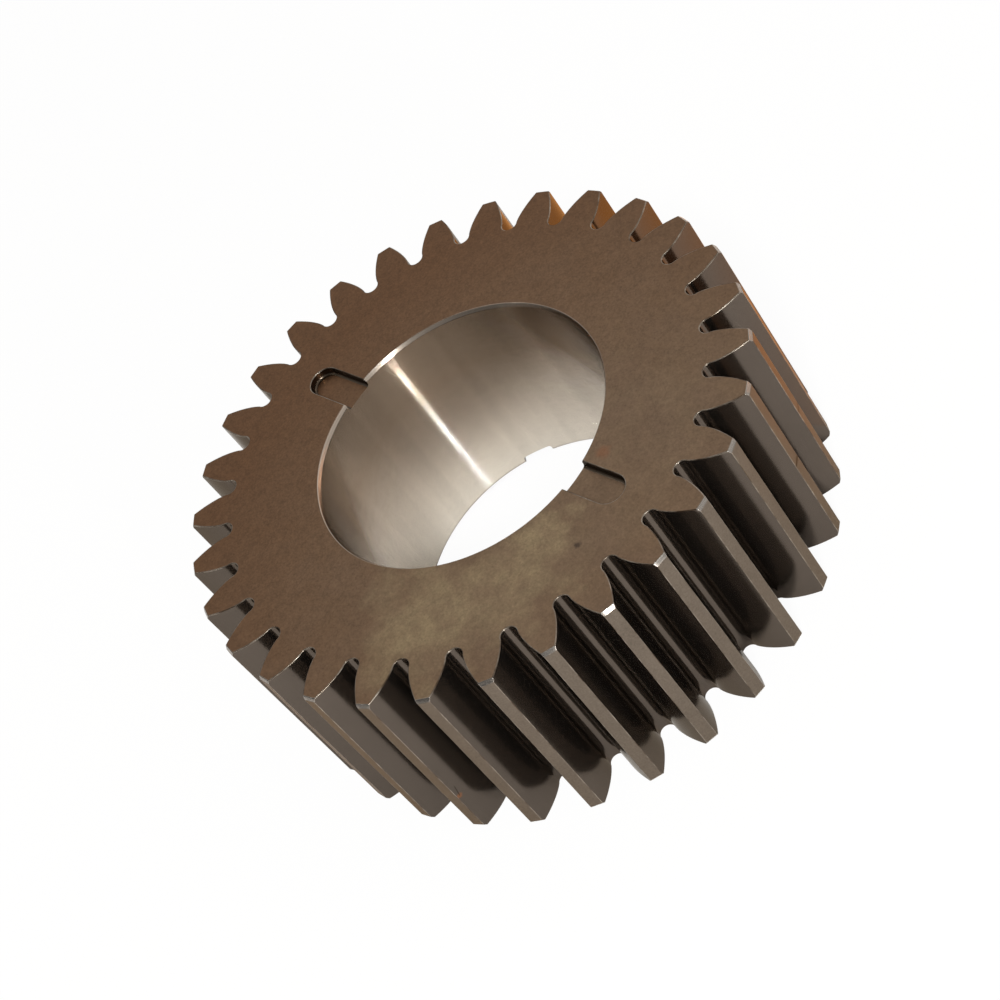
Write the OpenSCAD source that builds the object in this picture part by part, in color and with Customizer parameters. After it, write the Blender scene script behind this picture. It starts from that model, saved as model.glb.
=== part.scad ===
// Planet gear of a heavy planetary drive, forged and turned as one piece of alloy steel.
// Ground involute spur teeth stand round the rim, the bore is ground for a bearing, and two
// shallow oil slots run out from the bore across each end face.
// The gear lies on its lower face. The origin is where the bore axis meets that face, and +Z
// runs up the axis. The slots of the upper face lie along X.

/* [Teeth] */
// Number of teeth
tooth_count = 30; // [27:1:40]
// Module, the pitch diameter over the number of teeth
tooth_module = 5; // [4.75:0.25:7]
// Pressure angle of the flanks, in degrees
pressure_angle = 20; // [16:0.5:22]
// Profile shift, as a share of the module
profile_shift = 0.25; // [0:0.05:0.4]
// How deep the round root undercuts the ground flanks
root_relief = 0.05; // [0.02:0.01:0.2]
// Angle from the X axis to the middle of the first tooth
tooth_phase = 3.5; // [0:0.5:11.5]

/* [Blank] */
// Width across the two end faces
face_width = 62; // [30:1:100]
// Length along the axis of the chamfer turned on the tooth tips
tip_chamfer = 1.1; // [0.5:0.1:3]
// Angle between each turned chamfer and the axis
chamfer_angle = 30; // [20:5:45]

/* [Bore] */
// Diameter of the ground bore
bore_d = 82.5; // [60:0.5:95]
// Length along the axis of the chamfer at each mouth of the bore
bore_chamfer = 1; // [0.5:0.1:3]

/* [Oil slots] */
// Number of slots in each end face
slot_count = 2; // [1:1:4]
// Width of a slot
slot_width = 8.8; // [5:0.1:12]
// Depth of a slot below the end face
slot_depth = 2.4; // [1.6:0.1:5]
// Distance from the axis to the round outer end of a slot
slot_reach = 58.5; // [56:0.5:59]
// Radius between the floor of a slot and its wall
slot_fillet = 0.8; // [0.3:0.1:1.4]
// Angle from the slots of the upper face to those of the lower face
slot_turn = 41; // [0:1:90]

/* [Hidden] */

// Each cut runs this far past the surface that it opens
run_out = 1;
// Straight steps that follow the involute of one flank
flank_steps = 8;

// Circles of the toothing
pitch_r = tooth_module * tooth_count / 2;
base_r = pitch_r * cos(pressure_angle);
tip_r = pitch_r + tooth_module * (1 + profile_shift);
bore_r = bore_d / 2;
slot_r = slot_width / 2;

// Half the angle of a tooth, and of the space beside it, on the base circle
tooth_half = 90 / tooth_count
    + deg(2 * profile_shift * tan(pressure_angle) / tooth_count)
    + involute(pressure_angle);
space_half = 180 / tooth_count - tooth_half;

// The full round root is centred where a circle would touch both flanks on the base circle,
// and is larger than that circle by the relief
root_centre_r = base_r / cos(space_half);
root_fillet_r = base_r * tan(space_half) + root_relief;

function deg(radians) = radians * 180 / PI;
// Involute function of an angle, in degrees
function involute(angle) = deg(tan(angle)) - angle;
// Half the angle of the tooth space at a radius outside the base circle
function space_half_at(r) = space_half + involute(acos(base_r / r));
function polar(r, angle) = [r * cos(angle), r * sin(angle)];

// Radial width that a chamfer of a given axial length takes
function chamfer_width(length) = length * tan(chamfer_angle);

// Space between two teeth, centred on the X axis
module tooth_space() {
    outer_r = tip_r + run_out;
    radii = [for (i = [0 : flank_steps]) base_r + (outer_r - base_r) * i / flank_steps];
    left = [for (r = radii) polar(r, space_half_at(r))];
    right = [for (i = [flank_steps : -1 : 0]) polar(radii[i], -space_half_at(radii[i]))];
    polygon(concat(left, right));
    translate([root_centre_r, 0]) circle(r = root_fillet_r, $fn = 48);
}

// Turned blank, with the chamfers of the tooth tips and of the bore
module blank() {
    tip = chamfer_width(tip_chamfer);
    mouth = chamfer_width(bore_chamfer);
    rotate_extrude($fn = 180)
        polygon([
            [bore_r + mouth, 0],
            [tip_r - tip, 0],
            [tip_r, tip_chamfer],
            [tip_r, face_width - tip_chamfer],
            [tip_r - tip, face_width],
            [bore_r + mouth, face_width],
            [bore_r, face_width - bore_chamfer],
            [bore_r, bore_chamfer],
        ]);
}

// Cutter section of a slot, from the middle of its floor out to one wall
module slot_half_section() {
    square([slot_r - slot_fillet, slot_depth + run_out]);
    translate([0, slot_fillet]) square([slot_r, slot_depth + run_out - slot_fillet]);
    translate([slot_r - slot_fillet, slot_fillet]) circle(r = slot_fillet, $fn = 32);
}

// One slot, open to the bore, with its floor on the XY plane
module slot() {
    centre = slot_reach - slot_r;
    translate([centre, 0, 0]) rotate_extrude($fn = 64) slot_half_section();
    for (side = [0, 1])
        mirror([0, side, 0])
            rotate([90, 0, 90])
                linear_extrude(centre) slot_half_section();
}

// The slots of the upper face
module slots() {
    for (i = [0 : slot_count - 1])
        rotate(360 * i / slot_count)
            translate([0, 0, face_width - slot_depth]) slot();
}

module planet_gear() {
    color([0.40, 0.34, 0.28])
        difference() {
            blank();
            for (i = [0 : tooth_count - 1])
                rotate(tooth_phase + 360 * (i + 0.5) / tooth_count)
                    translate([0, 0, -run_out])
                        linear_extrude(face_width + 2 * run_out) tooth_space();
            slots();
            rotate(-slot_turn)
                translate([0, 0, face_width]) mirror([0, 0, 1]) slots();
        }
}

planet_gear();
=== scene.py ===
import math

import bmesh
import bpy
from mathutils import Matrix, Vector


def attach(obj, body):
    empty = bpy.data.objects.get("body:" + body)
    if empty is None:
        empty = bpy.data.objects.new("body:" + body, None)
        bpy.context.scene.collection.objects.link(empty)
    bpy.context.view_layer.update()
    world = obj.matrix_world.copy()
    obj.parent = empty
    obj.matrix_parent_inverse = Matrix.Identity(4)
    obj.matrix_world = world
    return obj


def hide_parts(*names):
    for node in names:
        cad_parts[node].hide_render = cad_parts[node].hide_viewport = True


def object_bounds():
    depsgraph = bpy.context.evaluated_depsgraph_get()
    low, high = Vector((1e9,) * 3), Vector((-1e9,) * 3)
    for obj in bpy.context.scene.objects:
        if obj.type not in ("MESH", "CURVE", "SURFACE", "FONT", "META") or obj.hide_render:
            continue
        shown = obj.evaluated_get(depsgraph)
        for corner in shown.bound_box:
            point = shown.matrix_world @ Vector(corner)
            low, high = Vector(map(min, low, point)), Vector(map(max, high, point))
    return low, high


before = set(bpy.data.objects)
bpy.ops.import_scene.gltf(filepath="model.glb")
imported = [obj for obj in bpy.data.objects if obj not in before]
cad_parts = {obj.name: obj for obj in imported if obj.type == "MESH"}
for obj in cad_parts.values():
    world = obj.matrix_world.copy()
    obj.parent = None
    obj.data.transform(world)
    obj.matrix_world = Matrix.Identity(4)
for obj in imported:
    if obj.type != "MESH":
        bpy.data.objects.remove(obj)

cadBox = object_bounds()
cadLow, cadHigh = cadBox

# Planet gear. Sizes are in metres and angles in degrees, the same as on the solid.
gear = {
    "teeth": 30,
    "module": 0.005,
    "pressureAngle": 20,
    "profileShift": 0.25,
    "rootRelief": 0.00005,      # how far the root undercuts the flanks
    "firstTooth": 3.5,          # angle of the first tooth from X
    "width": cadHigh.z - cadLow.z,
    "chamferAngle": 30,         # of every turned chamfer, from the axis
    "tipChamfer": 0.0011,       # lengths along the axis
    "boreChamfer": 0.001,
    "boreRadius": 0.04125,
    "webRadius": 0.0655,        # a circle between the slots and the roots, where the end faces are split
    "slotWidth": 0.0088,
    "slotDepth": 0.0024,
    "slotReach": 0.0585,
    "slotFillet": 0.0008,
    "upperSlots": (0, 180),
    "lowerSlots": (-41, 139),
    "toothEdge": 0.00025,       # broken edge round the teeth
    "fineEdge": 0.0001,         # every other broken edge
}

# How finely the gear is meshed, in steps
steps = {
    "root": 8,       # from the middle of a root to its flank
    "flank": 10,
    "edge": 3,       # across a rounded edge
    "tip": 2,        # from the corner of a tip land to its middle
    "bore": 180,     # round the bore
    "slotEnd": 12,   # round the end of a slot
    "slotFloor": 4,  # across the floor of a slot, where it meets the bore
    "fillet": 4,     # in the corner of a slot
}

print("measuring the toothing")

fullTurn = 2 * math.pi
chamferSlope = math.tan(math.radians(gear["chamferAngle"]))
firstTooth = math.radians(gear["firstTooth"])
pitchAngle = fullTurn / gear["teeth"]
pitchRadius = gear["module"] * gear["teeth"] / 2
baseRadius = pitchRadius * math.cos(math.radians(gear["pressureAngle"]))
tipRadius = pitchRadius + gear["module"] * (1 + gear["profileShift"])


def involute(angle):
    return math.tan(angle) - angle


# Half the angle of a tooth space on the base circle, and the circle of its round root
spaceAtBase = (math.pi / gear["teeth"] / 2
               - 2 * gear["profileShift"] * math.tan(math.radians(gear["pressureAngle"])) / gear["teeth"]
               - involute(math.radians(gear["pressureAngle"])))
rootCentre = baseRadius / math.cos(spaceAtBase)
rootRadius = baseRadius * math.tan(spaceAtBase) + gear["rootRelief"]


def solve(low, high, tooHigh):
    # halves a range until it closes on where tooHigh turns true
    for _ in range(40):
        middle = (low + high) / 2
        if tooHigh(middle):
            high = middle
        else:
            low = middle
    return (low + high) / 2


def polar(radius, angle):
    return Vector((radius * math.cos(angle), radius * math.sin(angle)))


def spaceHalfAngle(radius):
    return spaceAtBase + involute(math.acos(min(1, baseRadius / radius)))


def flankPoint(radius, inset):
    # a point of the flank beside the space that lies on +X, moved into the metal by inset
    nudge = gear["module"] / 1000
    here = polar(radius, spaceHalfAngle(radius))
    along = polar(radius + nudge, spaceHalfAngle(radius + nudge)) - here
    return here + Vector((-along.y, along.x)).normalized() * inset


def rootPoint(turn, inset):
    reach = rootRadius + inset
    return Vector((rootCentre - reach * math.cos(turn), reach * math.sin(turn)))


def outsideFlank(turn):
    point = rootPoint(turn, 0)
    return math.atan2(point.y, point.x) < spaceHalfAngle(point.length)


rootEndTurn = solve(math.radians(90), math.radians(130), outsideFlank)
flankStart = rootPoint(rootEndTurn, 0).length


def rounded(start, corner, end):
    # points of a soft corner from start to end
    shares = [i / steps["edge"] for i in range(steps["edge"] + 1)]
    return [start * (1 - u) ** 2 + corner * 2 * u * (1 - u) + end * u ** 2 for u in shares]


def halfPitch(inset, outerRadius):
    # outline from the middle of a space on +X to the middle of the next tooth
    cornerRadius = solve(flankStart, tipRadius * 1.01, lambda r: flankPoint(r, inset).length > outerRadius)
    corner = flankPoint(cornerRadius, inset)
    lastFlank = cornerRadius - gear["fineEdge"]
    points = [rootPoint(rootEndTurn * i / steps["root"], inset) for i in range(steps["root"] + 1)]
    for i in range(1, steps["flank"]):
        points.append(flankPoint(flankStart + (lastFlank - flankStart) * i / steps["flank"], inset))
    landAngle = math.atan2(corner.y, corner.x) + gear["fineEdge"] / outerRadius
    points += rounded(flankPoint(lastFlank, inset), corner, polar(outerRadius, landAngle))
    for i in range(1, steps["tip"] + 1):
        points.append(polar(outerRadius, landAngle + (pitchAngle / 2 - landAngle) * i / steps["tip"]))
    return points


def outline(inset, outerRadius):
    # the whole toothing, one list of points for each pitch, from the middle of a space to the next
    half = halfPitch(inset, outerRadius)
    mirrored = [polar(p.length, pitchAngle - math.atan2(p.y, p.x)) for p in reversed(half[1:-1])]
    pitches = []
    for i in range(gear["teeth"]):
        turn = Matrix.Rotation(firstTooth + pitchAngle * (i - 0.5), 2)
        pitches.append([turn @ p for p in half + mirrored])
    return pitches


# Finishes of the gear, in the order of its material slots
finishes = ["filmedFace", "groundFlank", "turnedTip", "turnedChamfer", "brushedEdge", "groundBore",
            "boreChamfer", "milledSlot"]


def turnedLevels(chamfer):
    # depths below an end face at which a turned chamfer bends, and how much of its cone is left there
    edge = gear["toothEdge"]
    fine = gear["fineEdge"]
    levels = []
    for i in range(steps["edge"] + 1):
        depth = edge * (i / steps["edge"]) ** 2
        levels.append((depth, chamfer - depth))
    for i in range(steps["edge"] + 1):
        u = i / steps["edge"]
        levels.append((chamfer - fine + 2 * fine * u, fine * (1 - u) ** 2))
    return levels


def edgeInset(depth):
    # how far the rounded edge of an end face has drawn back at a depth
    edge = gear["toothEdge"]
    return edge * (1 - math.sqrt(min(1, depth / edge))) ** 2


def coneInset(depth):
    # the same where the edge is that of a chamfer, which is blunter
    return edgeInset(depth) / 2


def heightAt(depth, side):
    return gear["width"] - depth if side == "upper" else depth


mesh = bmesh.new()


def vertex(point, height):
    return mesh.verts.new((point.x, point.y, height))


def face(corners, name):
    mesh.faces.new(corners).material_index = finishes.index(name)


print("building the teeth")


def toothRings(side):
    rings = []
    for depth, cone in turnedLevels(gear["tipChamfer"]):
        pitches = outline(edgeInset(depth), tipRadius - cone * chamferSlope - coneInset(depth))
        rings.append([[vertex(p, heightAt(depth, side)) for p in pitch] for pitch in pitches])
    return rings


def columnFinish(column, band):
    # what one strip of the toothing is, from its column in the pitch and its band below the end face
    flankEnd = steps["root"] + steps["flank"]
    half = flankEnd + steps["edge"] + steps["tip"]
    column = min(column, 2 * half - 1 - column)
    if column < flankEnd:
        return "brushedEdge" if band < steps["edge"] else "groundFlank"
    if band <= steps["edge"]:
        return "turnedChamfer"
    return "brushedEdge" if column < flankEnd + steps["edge"] else "turnedTip"


def joinRings(upper, lower, band):
    upper = [v for pitch in upper for v in pitch]
    lower = [v for pitch in lower for v in pitch]
    perPitch = len(upper) // gear["teeth"]
    for i in range(len(upper)):
        j = (i + 1) % len(upper)
        face([upper[i], upper[j], lower[j], lower[i]], columnFinish(i % perPitch, band))


toothing = {side: toothRings(side) for side in ("upper", "lower")}
for side in toothing:
    for band in range(len(toothing[side]) - 1):
        joinRings(toothing[side][band], toothing[side][band + 1], band)
joinRings(toothing["upper"][-1], toothing["lower"][-1], len(toothing["upper"]))

print("building the bore and the slots")

boreLevels = turnedLevels(gear["boreChamfer"])
full = len(boreLevels)
slotHalf = gear["slotWidth"] / 2
slotCentre = gear["slotReach"] - slotHalf
slotCorner = math.asin(slotHalf / gear["boreRadius"])
floorHalf = math.asin((slotHalf - gear["slotFillet"]) / gear["boreRadius"])


def boreRadiusAt(depth):
    for level, cone in boreLevels:
        if abs(level - depth) < 1e-9:
            return gear["boreRadius"] + cone * chamferSlope + coneInset(depth)
    return gear["boreRadius"]


def slotStations():
    # depth and outward offset of each line that runs round a slot, from its rim to its floor
    fillet = gear["slotFillet"]
    stations = [(depth, edgeInset(depth)) for depth, _ in boreLevels]
    for i in range(steps["fillet"] + 1):
        turn = math.pi / 2 * i / steps["fillet"]
        depth = gear["slotDepth"] - fillet + fillet * math.sin(turn)
        stations.append((depth, fillet * (math.cos(turn) - 1)))
    return stations


def slotPath(depth, offset):
    # from the bore along one wall, round the end and back to the bore, for a slot along +X
    half = slotHalf + offset
    start = math.sqrt(boreRadiusAt(depth) ** 2 - half ** 2)
    points = [Vector((start, half))]
    for i in range(steps["slotEnd"] + 1):
        points.append(Vector((slotCentre, 0)) + polar(half, math.pi / 2 - math.pi * i / steps["slotEnd"]))
    points.append(Vector((start, -half)))
    return points


def wallColumn(angle, side):
    # the vertices of one upright line of the bore next to an end face, from its mouth inwards
    return [vertex(polar(boreRadiusAt(depth), angle), heightAt(depth, side)) for depth, _ in boreLevels]


def buildSlot(degrees, side):
    # the walls, corners and floor of one slot, and the upright lines of the bore that end on it
    turn = Matrix.Rotation(math.radians(degrees), 2)
    stations = slotStations()
    paths = []
    for depth, offset in stations:
        paths.append([vertex(turn @ p, heightAt(depth, side)) for p in slotPath(depth, offset)])
    for k in range(len(paths) - 1):
        name = "brushedEdge" if k < steps["edge"] else "milledSlot"
        for i in range(len(paths[k]) - 1):
            face([paths[k][i], paths[k][i + 1], paths[k + 1][i + 1], paths[k + 1][i]], name)
    columns = {}
    for end, sign in ((0, 1), (-1, -1)):
        columns[sign * slotCorner] = [path[end] for path in paths[:full + 1]]
        for (_, offset), path in list(zip(stations, paths))[full + 1:]:
            columns[sign * math.asin((slotHalf + offset) / gear["boreRadius"])] = [path[end]]
    sill = []
    for i in range(1, steps["slotFloor"]):
        angle = -floorHalf + 2 * floorHalf * i / steps["slotFloor"]
        sill.append(vertex(turn @ polar(gear["boreRadius"], angle), heightAt(gear["slotDepth"], side)))
        columns[angle] = sill[-1:]
    face(paths[-1] + sill, "filmedFace")
    base = math.radians(degrees)
    return {"rim": paths[0], "from": base - slotCorner, "to": base + slotCorner,
            "columns": {(base + a) % fullTurn: c for a, c in columns.items()}}


built = {side: [buildSlot(angle, side) for angle in gear[side + "Slots"]] for side in ("upper", "lower")}
slotColumns = {side: {a: c for slot in built[side] for a, c in slot["columns"].items()} for side in built}
slotMargin = math.radians(0.6)      # no other line of the bore comes closer to a slot


def nearSlot(angle):
    for slots in built.values():
        for slot in slots:
            width = slot["to"] - slot["from"] + 2 * slotMargin
            if (angle - slot["from"] + slotMargin) % fullTurn < width:
                return True
    return False


webAngles = [firstTooth - pitchAngle / 2 + fullTurn / steps["bore"] * i for i in range(steps["bore"])]
webAngles = [a % fullTurn for a in webAngles]
spokes = sorted(a for a in webAngles if not nearSlot(a))
angles = sorted(set(spokes) | set(slotColumns["upper"]) | set(slotColumns["lower"]))
columns = {side: [slotColumns[side].get(a) or wallColumn(a, side) for a in angles] for side in built}

for i in range(len(angles)):
    j = (i + 1) % len(angles)
    ends = []
    for side in ("upper", "lower"):
        here, there = columns[side][i], columns[side][j]
        insideSlot = len(here) == 1 or len(there) == 1
        if not insideSlot:
            for k in range(full - 1):
                name = "boreChamfer" if k < full - 2 else "groundBore"
                face([here[k], there[k], there[k + 1], here[k + 1]], name)
        first = full if insideSlot else full - 1
        ends.append((here[first:] or here[-1:], there[first:] or there[-1:]))
    upper, lower = ends
    face(upper[0][::-1] + upper[1] + lower[1][::-1] + lower[0], "groundBore")

print("closing the end faces")


def between(some, start, stop):
    # the angles of a list that lie from start round to stop, in that order
    span = (stop - start) % fullTurn + 1e-9
    return sorted((a for a in some if (a - start) % fullTurn <= span), key=lambda a: (a - start) % fullTurn)


for side in built:
    web = {a: vertex(polar(gear["webRadius"], a), heightAt(0, side)) for a in webAngles}
    perPitch = steps["bore"] // gear["teeth"]
    for i in range(gear["teeth"]):
        inner = [web[webAngles[(perPitch * i + k) % steps["bore"]]] for k in range(perPitch + 1)]
        outer = toothing[side][0][i] + toothing[side][0][(i + 1) % gear["teeth"]][:1]
        face(inner + outer[::-1], "filmedFace")
    rims = {slot["rim"][0]: slot["rim"] for slot in built[side]}
    for i, start in enumerate(spokes):
        stop = spokes[(i + 1) % len(spokes)]
        loop = [web[a] for a in between(webAngles, start, stop)]
        for a in reversed(between(angles, start, stop)):
            column = columns[side][angles.index(a)]
            if len(column) > 1 and column[0] not in loop:
                loop += rims.get(column[0], column[:1])
        face(loop, "filmedFace")

bmesh.ops.recalc_face_normals(mesh, faces=mesh.faces)
openEdges = sum(1 for e in mesh.edges if len(e.link_faces) != 2)
print("faces", len(mesh.faces), "edges that aren't shared by two faces", openEdges)

# Shading of the mesh
smoothing = {
    "sharpFrom": 50,    # angle between two faces
    "areaWeight": 80,   # 50 is neutral, and more lets the larger faces keep their own normals
}

data = bpy.data.meshes.new("planet_gear_dressed")
mesh.to_mesh(data)
mesh.free()
for polygon in data.polygons:
    polygon.use_smooth = True
data.set_sharp_from_angle(angle=math.radians(smoothing["sharpFrom"]))
piece = bpy.data.objects.new("planet_gear_dressed", data)
bpy.context.scene.collection.objects.link(piece)
weighted = piece.modifiers.new("faceNormals", "WEIGHTED_NORMAL")
weighted.mode = "FACE_AREA"
weighted.weight = smoothing["areaWeight"]
weighted.keep_sharp = True

print("making the shader groups")


def link(tree, value, socket):
    # a value is a number, a colour, or the output of another node
    if isinstance(value, bpy.types.NodeSocket):
        tree.links.new(value, socket)
    elif value is not None:
        socket.default_value = value


def node(tree, kind, inputs=None, **settings):
    made = tree.nodes.new("ShaderNode" + kind)
    for name, value in settings.items():
        setattr(made, name, value)
    for name, value in (inputs or {}).items():
        link(tree, value, made.inputs[name])
    return made


def maths(tree, operation, *values):
    return node(tree, "Math", dict(enumerate(values)), operation=operation).outputs[0]


def plus(tree, first, second):
    return maths(tree, "ADD", first, second)


def times(tree, first, second):
    return maths(tree, "MULTIPLY", first, second)


def partly(tree, mask, share):
    # the mask, with only a share of its full effect
    return plus(tree, times(tree, mask, share), 1 - share)


def vectors(tree, operation, first, second=None):
    return node(tree, "VectorMath", {0: first, 1: second}, operation=operation).outputs


def spread(tree, value, low, high, toLow, toHigh):
    # takes low to toLow and high to toHigh, and goes no further
    return node(tree, "MapRange", dict(enumerate((value, low, high, toLow, toHigh))), clamp=True).outputs[0]


def blend(tree, share, first, second, how="MIX"):
    made = node(tree, "Mix", data_type="RGBA", blend_type=how)
    link(tree, share, made.inputs[0])
    link(tree, first, made.inputs[6])
    link(tree, second, made.inputs[7])
    return made.outputs[2]


def opaque(colour):
    return (*colour, 1)


def objectSpot(tree):
    return node(tree, "TexCoord").outputs["Object"]


def startGroup(name, inputs, output, kind="Float"):
    # a shader group with its inputs, each with its usual value, and one output
    tree = bpy.data.node_groups.new(name, "ShaderNodeTree")
    for label, value in inputs.items():
        size = len(value) if isinstance(value, tuple) else 1
        takes = {1: "NodeSocketFloat", 3: "NodeSocketVector", 4: "NodeSocketColor"}[size]
        tree.interface.new_socket(label, in_out="INPUT", socket_type=takes).default_value = value
    tree.interface.new_socket(output, in_out="OUTPUT", socket_type="NodeSocket" + kind)
    return tree, tree.nodes.new("NodeGroupInput").outputs, tree.nodes.new("NodeGroupOutput").inputs[0]


def place(tree, group, **values):
    # puts a group in a material with its own values, and gives its output
    made = tree.nodes.new("ShaderNodeGroup")
    made.node_tree = group
    for name, value in values.items():
        link(tree, value, made.inputs[name[0].upper() + name[1:]])
    return made.outputs[0]


def toolMarksGroup():
    # lines left by a tool: how many are met going round, outwards and up decides which way they run
    usual = {"Round": 1.0, "Out": 1.0, "Up": 1.0, "Detail": 2.0}
    tree, given, result = startGroup("toolMarks", usual, "Marks")
    parts = node(tree, "SeparateXYZ", {"Vector": objectSpot(tree)}).outputs
    level = node(tree, "CombineXYZ", {"X": parts["X"], "Y": parts["Y"]}).outputs[0]
    radius = vectors(tree, "LENGTH", level)["Value"]
    around = node(tree, "SeparateXYZ", {"Vector": vectors(tree, "NORMALIZE", level)[0]}).outputs
    stretched = node(tree, "CombineXYZ", {
        "X": times(tree, around["X"], given["Round"]),
        "Y": times(tree, around["Y"], given["Round"]),
        "Z": times(tree, radius, given["Out"])}).outputs[0]
    noise = node(tree, "TexNoise", {
        "Vector": stretched, "W": times(tree, parts["Z"], given["Up"]),
        "Scale": 1.0, "Detail": given["Detail"], "Roughness": 0.6}, noise_dimensions="4D").outputs[0]
    link(tree, spread(tree, noise, 0.28, 0.72, 0, 1), result)   # the noise seldom goes further
    return tree


def cloudGroup():
    # soft uneven patches, such as an oil film or a stain
    usual = {"Size": 0.02, "Seed": 0.0, "Cut": 0.5, "Soft": 0.2}
    tree, given, result = startGroup("cloud", usual, "Mask")
    noise = node(tree, "TexNoise", {
        "Vector": objectSpot(tree), "W": given["Seed"], "Scale": maths(tree, "DIVIDE", 1.0, given["Size"]),
        "Detail": 4.0, "Roughness": 0.6, "Distortion": 0.3}, noise_dimensions="4D").outputs[0]
    low = maths(tree, "SUBTRACT", given["Cut"], given["Soft"])
    high = plus(tree, given["Cut"], given["Soft"])
    link(tree, spread(tree, noise, low, high, 0, 1), result)
    return tree


def specksGroup():
    # small round specks, each cell of the grid holding one of its own size
    usual = {"Spacing": 0.004, "Size": 0.12, "Seed": 0.0}
    tree, given, result = startGroup("specks", usual, "Mask")
    cells = node(tree, "TexVoronoi", {
        "Vector": objectSpot(tree), "W": given["Seed"],
        "Scale": maths(tree, "DIVIDE", 1.0, given["Spacing"])}, voronoi_dimensions="4D").outputs
    chance = node(tree, "SeparateColor", {"Color": cells["Color"]}).outputs["Red"]
    reach = times(tree, given["Size"], chance)
    link(tree, spread(tree, cells["Distance"], times(tree, reach, 0.6), reach, 1, 0), result)
    return tree


def markGroup():
    # one soft mark at a place, ragged round its edge
    usual = {"Place": (0.0, 0.0, 0.0), "Size": 0.003, "Ragged": 0.4}
    tree, given, result = startGroup("mark", usual, "Mask")
    spot = objectSpot(tree)
    away = vectors(tree, "DISTANCE", spot, given["Place"])["Value"]
    noise = node(tree, "TexNoise", {
        "Vector": spot, "Scale": maths(tree, "DIVIDE", 1.5, given["Size"]), "Detail": 3.0}).outputs[0]
    lift = times(tree, maths(tree, "SUBTRACT", noise, 0.5), given["Ragged"])
    share = plus(tree, maths(tree, "DIVIDE", away, given["Size"]), times(tree, lift, 2.0))
    link(tree, spread(tree, share, 0.35, 1, 1, 0), result)
    return tree


def scratchGroup():
    # a thin line on both sides of a place, as long each way as the vector Along
    usual = {"Place": (0.0, 0.0, 0.0), "Along": (0.001, 0.0, 0.0), "Wide": 0.0002}
    tree, given, result = startGroup("scratch", usual, "Mask")
    away = vectors(tree, "SUBTRACT", objectSpot(tree), given["Place"])[0]
    both = vectors(tree, "DOT_PRODUCT", away, given["Along"])["Value"]
    whole = vectors(tree, "DOT_PRODUCT", given["Along"], given["Along"])["Value"]
    share = spread(tree, maths(tree, "DIVIDE", both, whole), -1, 1, -1, 1)
    nearest = node(tree, "VectorMath", {0: given["Along"], "Scale": share}, operation="SCALE").outputs[0]
    gap = vectors(tree, "DISTANCE", away, nearest)["Value"]
    link(tree, spread(tree, maths(tree, "DIVIDE", gap, given["Wide"]), 0.4, 1, 1, 0), result)
    return tree


def unevenGroup():
    # a colour made lighter by two masks, each by its own share, from a darkest level on
    usual = {"Colour": (1.0, 1.0, 1.0, 1.0), "First": 0.0, "FirstShare": 0.0, "Second": 0.0,
             "SecondShare": 0.0, "Darkest": 1.0}
    tree, given, result = startGroup("uneven", usual, "Colour", "Color")
    lift = plus(tree, times(tree, given["First"], given["FirstShare"]),
                times(tree, given["Second"], given["SecondShare"]))
    level = plus(tree, lift, given["Darkest"])
    tint = node(tree, "CombineColor", {"Red": level, "Green": level, "Blue": level}).outputs[0]
    link(tree, blend(tree, 1.0, given["Colour"], tint, "MULTIPLY"), result)
    return tree


def groovesGroup():
    # normals of grooves round the axis, too fine to be seen one by one: most are shallow, a few are steep
    usual = {"Shallow": 0.1, "Steep": 1.2, "Waves": 700.0}
    tree, given, result = startGroup("grooves", usual, "Normal", "Vector")
    chance = node(tree, "TexWhiteNoise", {"Vector": objectSpot(tree)}, noise_dimensions="3D").outputs
    slope = maths(tree, "SUBTRACT", times(tree, chance["Value"], 2.0), 1.0)
    waves = place(tree, toolMarks, round=12.0, out=0.0, up=given["Waves"], detail=0.0)
    other = node(tree, "SeparateColor", {"Color": chance["Color"]}).outputs["Green"]
    isSteep = maths(tree, "LESS_THAN", other, partly(tree, waves, 0.35))    # never fewer than 65% of them
    steep = times(tree, maths(tree, "POWER", slope, 7.0), times(tree, given["Steep"], isSteep))
    upwards = plus(tree, times(tree, slope, given["Shallow"]), steep)
    tilt = node(tree, "CombineXYZ", {"Z": upwards}).outputs[0]
    tilted = vectors(tree, "ADD", node(tree, "NewGeometry").outputs["Normal"], tilt)[0]
    link(tree, vectors(tree, "NORMALIZE", tilted)[0], result)
    return tree


toolMarks = toolMarksGroup()
cloud = cloudGroup()
specks = specksGroup()
mark = markGroup()
scratch = scratchGroup()
uneven = unevenGroup()
grooves = groovesGroup()

print("making the finishes")


def startMetal(name, made):
    material = bpy.data.materials.new(name)
    material.use_nodes = True
    tree = material.node_tree
    inputs = tree.nodes["Principled BSDF"].inputs
    inputs["Metallic"].default_value = made.get("metallic", 1.0)
    inputs["Roughness"].default_value = made["roughness"]
    if "glancing" in made:
        inputs["Specular Tint"].default_value = opaque(made["glancing"])
    return material, tree, inputs


def bump(tree, height, depth, after=None):
    made = node(tree, "Bump", {"Height": height, "Strength": 1.0, "Distance": depth, "Normal": after})
    return made.outputs[0]


def cover(tree, colour, mask, share, over):
    return blend(tree, times(tree, mask, share), colour, opaque(over))


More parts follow.
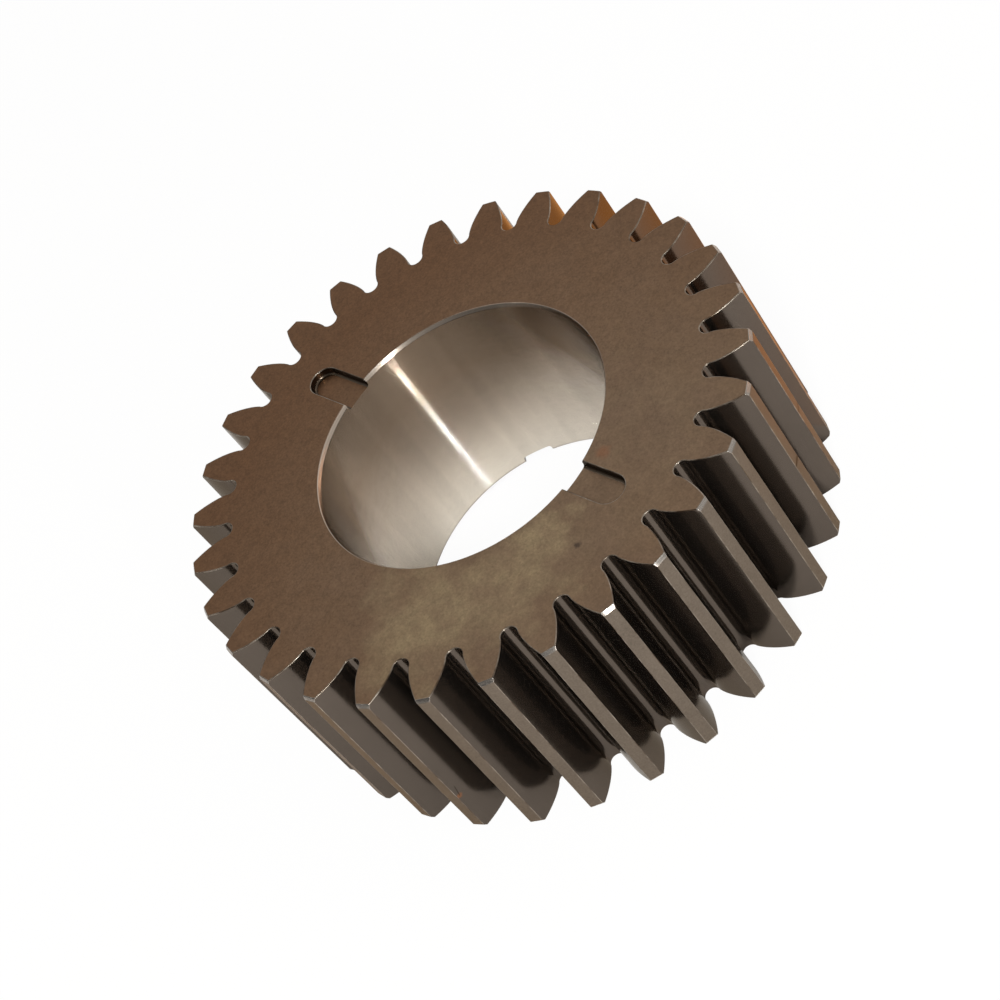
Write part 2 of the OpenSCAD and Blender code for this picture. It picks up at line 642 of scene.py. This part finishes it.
# Brown film on the end faces. It is thinner in a patch between the bore and the near teeth. Towards the side
# that faces the camera it turns greyer, which is painted sheen.
film = {
    "brown": (0.135, 0.07, 0.035),
    # the grey is the colour of the painted sheen
    "grey": (0.183, 0.13, 0.084),
    "sheenAround": (-0.068, 0.012, 0.062),
    "sheenTo": 0.0325,           # distances from there between which the painted sheen gives way to the brown
    "brownFrom": 0.13,
    "broad": {"size": 0.04, "seed": 3.0, "soft": 0.25},
    "broadShare": 0.4,
    "thin": (0.3, 0.232, 0.135),
    "thinPatches": (
        {"place": (-0.034, 0.05, 0.062), "size": 0.022, "ragged": 1.0},
        {"place": (-0.047, 0.032, 0.062), "size": 0.016, "ragged": 1.0},
        {"place": (-0.046, 0.016, 0.062), "size": 0.009, "ragged": 1.0},
    ),
    "thinAllOver": 0.3,         # how much of it shows all over a thin patch, and how much in spots
    "thinInSpots": 0.65,
    "spots": {"size": 0.007, "seed": 8.0, "soft": 0.16},
    "smudge": (0.15, 0.097, 0.064),
    "smudgeShare": 0.6,
    "smudges": {"size": 0.011, "seed": 21.0, "soft": 0.1},
    "mottle": {"size": 0.0022, "seed": 5.0},
    "mottleShare": 0.26,
    "grain": {"size": 0.0006, "seed": 1.0},
    "grainShare": 0.4,
    "darkest": 0.68,
    "rust": (0.25, 0.085, 0.035),
    "rustShare": 0.35,
    "rustSpot": {"place": (-0.0455, -0.0085, 0.062), "size": 0.0026, "ragged": 0.5},
    "dark": (0.03, 0.022, 0.018),
    "darkShare": 0.7,
    "darkSpot": {"place": (-0.0565, 0.0165, 0.062), "size": 0.0012, "ragged": 0.6},
    "pale": (0.5, 0.45, 0.36),
    "paleShare": 0.55,
    "paleSpecks": {"spacing": 0.0055, "size": 0.07, "seed": 2.0},
    "metallic": 0.85,
    "roughness": 0.4,
    "unevenness": 0.08,         # of the roughness
    "rings": {"round": 1.5, "out": 2500.0, "up": 0.0},
    "ringDepth": 0.000004,
    "grainDepth": 0.00001,
}


def filmedFace():
    material, tree, inputs = startMetal("filmedFace", film)
    spots = place(tree, cloud, **film["spots"])
    mottle = place(tree, cloud, **film["mottle"])
    grain = place(tree, cloud, **film["grain"])
    # painted sheen: greyer towards the side that faces the camera
    away = vectors(tree, "DISTANCE", objectSpot(tree), film["sheenAround"])["Value"]
    paintedSheen = spread(tree, away, film["brownFrom"], film["sheenTo"], 0, 1)
    broad = place(tree, cloud, **film["broad"])
    paintedSheen = times(tree, paintedSheen, partly(tree, broad, film["broadShare"]))
    colour = blend(tree, paintedSheen, opaque(film["brown"]), opaque(film["grey"]))
    thinness = plus(tree, times(tree, spots, film["thinInSpots"]), film["thinAllOver"])
    for patch in film["thinPatches"]:
        worn = times(tree, place(tree, mark, **patch), thinness)
        colour = blend(tree, worn, colour, opaque(film["thin"]))
    smudged = times(tree, place(tree, cloud, **film["smudges"]), paintedSheen)
    colour = cover(tree, colour, smudged, film["smudgeShare"], film["smudge"])
    colour = place(tree, uneven, colour=colour, first=mottle, firstShare=film["mottleShare"],
                   second=grain, secondShare=film["grainShare"], darkest=film["darkest"])
    colour = cover(tree, colour, place(tree, mark, **film["rustSpot"]), film["rustShare"], film["rust"])
    colour = cover(tree, colour, place(tree, mark, **film["darkSpot"]), film["darkShare"], film["dark"])
    colour = cover(tree, colour, place(tree, specks, **film["paleSpecks"]), film["paleShare"], film["pale"])
    link(tree, colour, inputs["Base Color"])
    rough = plus(tree, times(tree, spots, film["unevenness"]), times(tree, mottle, film["unevenness"]))
    link(tree, plus(tree, rough, film["roughness"] - film["unevenness"]), inputs["Roughness"])
    normal = bump(tree, place(tree, toolMarks, **film["rings"]), film["ringDepth"])
    link(tree, bump(tree, grain, film["grainDepth"], normal), inputs["Normal"])
    return material


# Ground flanks and roots, with the grinding lines running along the teeth
flank = {
    "steel": (0.108, 0.09, 0.076),
    "glancing": (0.55, 0.52, 0.48),     # tint of what is mirrored at a low angle
    "metallic": 0.95,
    "roughness": 0.17,                  # even all over, because changes in it look crumpled in the deep gaps
    "lines": {"round": 300.0, "out": 1500.0, "up": 0.0},
    "lineShare": 0.06,
    "lineDepth": 0.0000004,
    "stain": {"size": 0.015, "seed": 5.0, "soft": 0.25},
    "stainShare": 0.12,
    "darkest": 0.9,
    "dust": {"spacing": 0.006, "size": 0.05, "seed": 7.0},
    "dustShare": 0.5,
    "rust": (0.3, 0.12, 0.05),
    "rustShare": 0.6,
    "rustSpot": {"place": (-0.0314, 0.0742, 0.0157), "size": 0.0011, "ragged": 0.5},
    "nick": (0.02, 0.016, 0.013),
    "nickShare": 0.7,
    "nickLine": {"place": (-0.03143, 0.0738, 0.0176), "along": (0.0, 0.0003, -0.0018), "wide": 0.0002},
}


def groundFlank():
    material, tree, inputs = startMetal("groundFlank", flank)
    lines = place(tree, toolMarks, **flank["lines"])
    stain = place(tree, cloud, **flank["stain"])
    colour = place(tree, uneven, colour=opaque(flank["steel"]), first=lines, firstShare=flank["lineShare"],
                   second=stain, secondShare=flank["stainShare"], darkest=flank["darkest"])
    colour = cover(tree, colour, place(tree, specks, **flank["dust"]), flank["dustShare"], film["pale"])
    colour = cover(tree, colour, place(tree, mark, **flank["rustSpot"]), flank["rustShare"], flank["rust"])
    nick = place(tree, scratch, **flank["nickLine"])
    colour = cover(tree, colour, nick, flank["nickShare"], flank["nick"])
    link(tree, colour, inputs["Base Color"])
    link(tree, bump(tree, lines, flank["lineDepth"]), inputs["Normal"])
    return material


# Turned tip lands, with a fine grain
tipLand = {
    "steel": (0.165, 0.138, 0.112),
    "glancing": (0.6, 0.5, 0.42),
    "roughness": 0.34,
    "unevenness": 0.1,              # of the roughness
    "rings": {"round": 12.0, "out": 0.0, "up": 4000.0},
    "ringDepth": 0.000005,
    "grain": {"size": 0.0005, "seed": 4.0},
    "grainShare": 0.4,
    "grainDepth": 0.000002,
    "stain": {"size": 0.012, "seed": 6.0, "soft": 0.25},
    "stainShare": 0.16,
    "darkest": 0.7,
    "scratch": (0.02, 0.016, 0.013),
    "scratchShare": 0.85,
    "scratchedTeeth": (18, 17),     # counted from the first tooth, each scratched across at one height
    "scratchHeight": 0.0308,
    "scratchHalf": 0.0014,
    "scratchRise": 0.0002,
    "scratchWide": 0.0005,
}


def turnedTip():
    material, tree, inputs = startMetal("turnedTip", tipLand)
    grain = place(tree, cloud, **tipLand["grain"])
    stain = place(tree, cloud, **tipLand["stain"])
    colour = place(tree, uneven, colour=opaque(tipLand["steel"]), first=grain,
                   firstShare=tipLand["grainShare"], second=stain, secondShare=tipLand["stainShare"],
                   darkest=tipLand["darkest"])
    for tooth in tipLand["scratchedTeeth"]:
        angle = firstTooth + pitchAngle * tooth
        spot = (*polar(tipRadius, angle), tipLand["scratchHeight"])
        across = (*polar(tipLand["scratchHalf"], angle + math.pi / 2), tipLand["scratchRise"])
        line = place(tree, scratch, place=spot, along=across, wide=tipLand["scratchWide"])
        colour = cover(tree, colour, line, tipLand["scratchShare"], tipLand["scratch"])
    link(tree, colour, inputs["Base Color"])
    rough = times(tree, grain, tipLand["unevenness"])
    link(tree, plus(tree, rough, tipLand["roughness"] - tipLand["unevenness"] / 2), inputs["Roughness"])
    normal = bump(tree, place(tree, toolMarks, **tipLand["rings"]), tipLand["ringDepth"])
    link(tree, bump(tree, grain, tipLand["grainDepth"], normal), inputs["Normal"])
    return material


def ringedMetal(name, made):
    # plain metal with the rings of its tool
    material, tree, inputs = startMetal(name, made)
    rings = place(tree, toolMarks, **made["rings"])
    link(tree, place(tree, uneven, colour=opaque(made["steel"]), first=rings, firstShare=made["ringShare"],
                     darkest=made["darkest"]), inputs["Base Color"])
    link(tree, bump(tree, rings, made["ringDepth"]), inputs["Normal"])
    return material


# Turned chamfers on the tips of the teeth
tipChamfer = {
    "steel": (0.34, 0.31, 0.28),
    "roughness": 0.26,
    "rings": {"round": 9.0, "out": 5000.0, "up": 5000.0},
    "ringShare": 0.35,
    "ringDepth": 0.00001,
    "darkest": 0.75,
}


def turnedChamfer():
    return ringedMetal("turnedChamfer", tipChamfer)


# Broken edges, brushed bright by hand, more in some places than in others
brokenEdge = {
    "dark": (0.095, 0.068, 0.048),
    "bright": (0.45, 0.4, 0.34),
    "roughness": 0.34,
    "rubbed": {"size": 0.006, "seed": 9.0, "cut": 0.52, "soft": 0.14},
    "fine": {"size": 0.0007, "seed": 12.0},
    "fineShare": 0.5,
    "fineDepth": 0.00001,
}


def brushedEdge():
    material, tree, inputs = startMetal("brushedEdge", brokenEdge)
    rubbed = place(tree, cloud, **brokenEdge["rubbed"])
    fine = place(tree, cloud, **brokenEdge["fine"])
    share = times(tree, rubbed, partly(tree, fine, brokenEdge["fineShare"]))
    colour = blend(tree, share, opaque(brokenEdge["dark"]), opaque(brokenEdge["bright"]))
    link(tree, colour, inputs["Base Color"])
    link(tree, bump(tree, fine, brokenEdge["fineDepth"]), inputs["Normal"])
    return material


# Ground bore, with its grinding lines running round it, and painted shade that darkens it to brown towards
# its upper mouth
bore = {
    "steel": (0.84, 0.79, 0.71),
    # painted shade, brown, for the shade that the wall mirrors: paler in the middle of the side where it is
    # palest, deeper to either side of it
    "paleShadeTint": (0.58, 0.465, 0.36),
    "deepShadeTint": (0.17, 0.118, 0.08),
    "shadeFrom": 0.004,       # heights between which the painted shade begins
    "shadeTo": 0.044,
    "palestShadeSide": -15,         # compass angle of the place where the painted shade is palest
    "deepShadeWithin": 0.5,     # how far from the middle that way it is deepest, of the bore's radius
    "bands": {"round": 7.0, "out": 0.0, "up": 3.0},
    "bandShare": 0.2,
    "stain": {"size": 0.012, "seed": 13.0, "soft": 0.25},
    "stainShare": 0.08,
    "darkest": 0.84,
    "dust": {"spacing": 0.009, "size": 0.05, "seed": 15.0},
    "dustColour": (0.05, 0.04, 0.03),
    "dustShare": 0.7,
    "roughness": 0.145,
    "anisotropy": 0.9,
    "acrossLines": 0.25,    # turn that draws the shine out along the bore, because the lines run round it
    "grooves": {"shallow": 0.05, "steep": 1.4, "waves": 900.0},     # slopes, and dashes in a metre of shine
}


def groundBore():
    material, tree, inputs = startMetal("groundBore", bore)
    spot = objectSpot(tree)
    # painted shade: darker brown towards the upper mouth, and deeper away from its palest side
    side = math.radians(bore["palestShadeSide"])
    towards = vectors(tree, "DOT_PRODUCT", spot, (math.cos(side), math.sin(side), 0))["Value"]
    radius = gear["boreRadius"]
    deepShade = spread(tree, maths(tree, "ABSOLUTE", towards), radius * bore["deepShadeWithin"], radius, 1, 0)
    shadeTint = blend(tree, deepShade, opaque(bore["paleShadeTint"]), opaque(bore["deepShadeTint"]))
    height = node(tree, "SeparateXYZ", {"Vector": spot}).outputs["Z"]
    paintedShade = spread(tree, height, bore["shadeFrom"], bore["shadeTo"], 0, 1)
    colour = blend(tree, paintedShade, opaque(bore["steel"]), shadeTint)
    bands = place(tree, toolMarks, **bore["bands"])
    stain = place(tree, cloud, **bore["stain"])
    colour = place(tree, uneven, colour=colour, first=bands, firstShare=bore["bandShare"],
                   second=stain, secondShare=bore["stainShare"], darkest=bore["darkest"])
    colour = cover(tree, colour, place(tree, specks, **bore["dust"]), bore["dustShare"], bore["dustColour"])
    link(tree, colour, inputs["Base Color"])
    inputs["Anisotropic"].default_value = bore["anisotropy"]
    inputs["Anisotropic Rotation"].default_value = bore["acrossLines"]
    link(tree, node(tree, "Tangent", direction_type="RADIAL", axis="Z").outputs[0], inputs["Tangent"])
    link(tree, place(tree, grooves, **bore["grooves"]), inputs["Normal"])
    return material


# Turned chamfers at the mouths of the bore
mouth = {
    "steel": (0.44, 0.37, 0.31),
    "roughness": 0.2,
    "rings": {"round": 6.0, "out": 6000.0, "up": 6000.0},
    "ringShare": 0.25,
    "ringDepth": 0.00001,
    "darkest": 0.8,
}


def boreChamfer():
    return ringedMetal("boreChamfer", mouth)


# Milled walls and corners of the oil slots
oilSlot = {
    "steel": (0.09, 0.068, 0.05),
    "roughness": 0.22,
    "rings": {"round": 30.0, "out": 600.0, "up": 6000.0},
    "ringShare": 0.3,
    "ringDepth": 0.00001,
    "darkest": 0.8,
}


def milledSlot():
    return ringedMetal("milledSlot", oilSlot)


# The same order as the names of the finishes
for makeFinish in (filmedFace, groundFlank, turnedTip, turnedChamfer, brushedEdge, groundBore, boreChamfer,
                   milledSlot):
    data.materials.append(makeFinish())

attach(piece, "root")
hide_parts("planet_gear")

print("setting the stage")

# Where the photograph was taken from, with the gear lying on its lower face
viewpoint = {
    "place": (-0.4222, 0.1641, 0.4669),
    "aim": (0.00358, 0.00162, 0.031),
    "roll": 39.235,
    "lens": 85.055,
    "sensor": 36,
}

cameraData = bpy.data.cameras.new("camera")
cameraData.lens = viewpoint["lens"]
cameraData.sensor_width = viewpoint["sensor"]
camera = bpy.data.objects.new("camera", cameraData)
bpy.context.scene.collection.objects.link(camera)
camera.location = viewpoint["place"]
forward = Vector(viewpoint["aim"]) - Vector(viewpoint["place"])
roll = Matrix.Rotation(-math.radians(viewpoint["roll"]), 3, "Z").to_quaternion()
camera.rotation_mode = "QUATERNION"
camera.rotation_quaternion = forward.to_track_quat("-Z", "Y") @ roll
bpy.context.scene.camera = camera


def startMaterial(name):
    material = bpy.data.materials.new(name)
    material.use_nodes = True
    tree = material.node_tree
    return material, tree, tree.nodes["Principled BSDF"]


# Floor: near white to the eye and in the metal, with a part of the shadow left on it
ground = {
    "half": 3.0,
    "colour": (0.9, 0.9, 0.9),
    "roughness": 0.9,
    "whiteSeen": 0.95,
    "whiteMirrored": 0.04,
}

floorData = bpy.data.meshes.new("floor")
floorMesh = bmesh.new()
bmesh.ops.create_grid(floorMesh, x_segments=1, y_segments=1, size=ground["half"])
floorMesh.to_mesh(floorData)
floorMesh.free()
floor = bpy.data.objects.new("floor", floorData)
bpy.context.scene.collection.objects.link(floor)


def paleFloor():
    material, tree, shader = startMaterial("paleFloor")
    shader.inputs["Base Color"].default_value = opaque(ground["colour"])
    shader.inputs["Roughness"].default_value = ground["roughness"]
    shader.inputs["Specular IOR Level"].default_value = 0.0
    glow = node(tree, "Emission", {"Color": (1, 1, 1, 1), "Strength": 1.0}).outputs[0]
    path = node(tree, "LightPath").outputs
    mirrored = maths(tree, "MAXIMUM", path["Is Glossy Ray"], path["Is Transmission Ray"])
    share = plus(tree, times(tree, path["Is Camera Ray"], ground["whiteSeen"]),
                 times(tree, mirrored, ground["whiteMirrored"]))
    mixed = node(tree, "MixShader", {0: share, 1: shader.outputs[0], 2: glow}).outputs[0]
    tree.links.new(mixed, tree.nodes["Material Output"].inputs["Surface"])
    return material


floorData.materials.append(paleFloor())

# Warm card on the floor round the side of the gear that looks away, only seen mirrored in the metal
card = {
    "from": -155,               # compass angles of its ends
    "to": -52,
    "inner": 0.084,
    "outer": 0.16,
    "lift": 0.0002,
    "steps": 16,
    "colour": (1.0, 0.46, 0.15),
    "strength": 1.8,
    "alongX": (-0.12, 0.0),     # places between which its glow comes in
    "alongY": (-0.045, -0.1),
}

corners = []
for i in range(card["steps"] + 1):
    turn = math.radians(card["from"] + (card["to"] - card["from"]) * i / card["steps"])
    corners += [(*polar(card["inner"], turn), card["lift"]), (*polar(card["outer"], turn), card["lift"])]
strips = [(2 * i, 2 * i + 1, 2 * i + 3, 2 * i + 2) for i in range(card["steps"])]
cardData = bpy.data.meshes.new("warmCard")
cardData.from_pydata(corners, [], strips)
warmCard = bpy.data.objects.new("warmCard", cardData)
bpy.context.scene.collection.objects.link(warmCard)
warmCard.visible_camera = False
warmCard.visible_diffuse = False
warmCard.visible_shadow = False


def glowingCard():
    material, tree, shader = startMaterial("warmCard")
    shader.inputs["Base Color"].default_value = (0, 0, 0, 1)
    shader.inputs["Specular IOR Level"].default_value = 0.0
    shader.inputs["Emission Color"].default_value = opaque(card["colour"])
    shader.inputs["Emission Strength"].default_value = card["strength"]
    parts = node(tree, "SeparateXYZ", {"Vector": objectSpot(tree)}).outputs
    link(tree, times(tree, spread(tree, parts["X"], *card["alongX"], 0, 1),
                     spread(tree, parts["Y"], *card["alongY"], 0, 1)), shader.inputs["Alpha"])
    return material


cardData.materials.append(glowingCard())

# Even light of a pale room, darker and warmer overhead and dimmer on one side
room = {
    "horizon": 0.5,
    "middle": 0.78,
    "middleFrom": 0.55,             # heights, where straight up is 1
    "overhead": 0.15,
    "overheadFrom": (0.74, 0.95),
    "colour": (1.0, 0.98, 0.95),
    "ceiling": (1.0, 0.76, 0.55),
    "brightSide": 255,              # compass angle
    "sideReach": 0.9,               # how far towards it and away from it the light goes on changing
    "dimmest": 0.3,
    "brightest": 1.35,
}


def paleRoom():
    world = bpy.data.worlds.new("room")
    world.use_nodes = True
    tree = world.node_tree
    direction = node(tree, "TexCoord").outputs["Generated"]
    height = node(tree, "SeparateXYZ", {"Vector": direction}).outputs["Z"]
    rising = spread(tree, height, 0.0, room["middleFrom"], room["horizon"], room["middle"])
    overhead = spread(tree, height, *room["overheadFrom"], 0, 1)
    strength = plus(tree, times(tree, rising, maths(tree, "SUBTRACT", 1.0, overhead)),
                    times(tree, overhead, room["overhead"]))
    side = math.radians(room["brightSide"])
    towards = vectors(tree, "DOT_PRODUCT", direction, (math.cos(side), math.sin(side), 0))["Value"]
    reach = room["sideReach"]
    bySide = spread(tree, towards, -reach, reach, room["dimmest"], room["brightest"])
    strength = times(tree, strength, bySide)
    colour = blend(tree, overhead, opaque(room["colour"]), opaque(room["ceiling"]))
    seen = node(tree, "LightPath").outputs["Is Camera Ray"]
    background = tree.nodes["Background"].inputs
    link(tree, blend(tree, seen, colour, (1, 1, 1, 1)), background["Color"])
    link(tree, maths(tree, "MAXIMUM", seen, strength), background["Strength"])
    return world


bpy.context.scene.world = paleRoom()

# Lamps stand round the gear at a compass angle and a height angle, and face its middle
lamps = {
    "keyLamp": {"compass": 146, "height": 46, "away": 1.3, "wide": 0.2, "tall": 0.2, "power": 14.0,
                "colour": (1.0, 0.97, 0.93), "seenIn": "diffuse"},
    "glintLamp": {"compass": 166.2, "height": 46, "away": 1.3, "wide": 0.022, "tall": 0.022, "power": 7.5,
                  "colour": (0.88, 0.96, 1.0), "seenIn": "glossy"},
    "lowLamp": {"compass": 164, "height": 14, "away": 1.3, "wide": 0.08, "tall": 0.3, "power": 6.5,
                "colour": (1.0, 0.98, 0.96), "seenIn": "both"},
    "farLamp": {"compass": 61, "height": 45, "away": 1.3, "wide": 0.015, "tall": 0.03, "power": 0.7,
                "colour": (1.0, 0.97, 0.93), "seenIn": "glossy"},
    "softPanel": {"compass": -20, "height": 58, "away": 1.3, "wide": 0.7, "tall": 0.5, "power": 0.8,
                  "colour": (1.0, 1.0, 1.0), "seenIn": "both"},
    "warmLamp": {"compass": -95, "height": 6, "away": 0.5, "wide": 0.5, "tall": 0.08, "power": 0.15,
                 "colour": (1.0, 0.42, 0.12), "seenIn": "both"},
}

gearMiddle = Vector((0, 0, gear["width"] / 2))
for name, lamp in lamps.items():
    light = bpy.data.lights.new(name, "AREA")
    light.shape = "RECTANGLE"
    light.size = lamp["wide"]
    light.size_y = lamp["tall"]
    light.energy = lamp["power"]
    light.color = lamp["colour"]
    holder = bpy.data.objects.new(name, light)
    bpy.context.scene.collection.objects.link(holder)
    compass = math.radians(lamp["compass"])
    rise = math.radians(lamp["height"])
    outwards = Vector((*polar(math.cos(rise), compass), math.sin(rise)))
    holder.location = gearMiddle + outwards * lamp["away"]
    holder.rotation_mode = "QUATERNION"
    holder.rotation_quaternion = (-outwards).to_track_quat("-Z", "Y")
    holder.visible_camera = False
    holder.visible_diffuse = lamp["seenIn"] != "glossy"
    holder.visible_glossy = lamp["seenIn"] != "diffuse"

bpy.context.scene.view_settings.view_transform = "Standard"
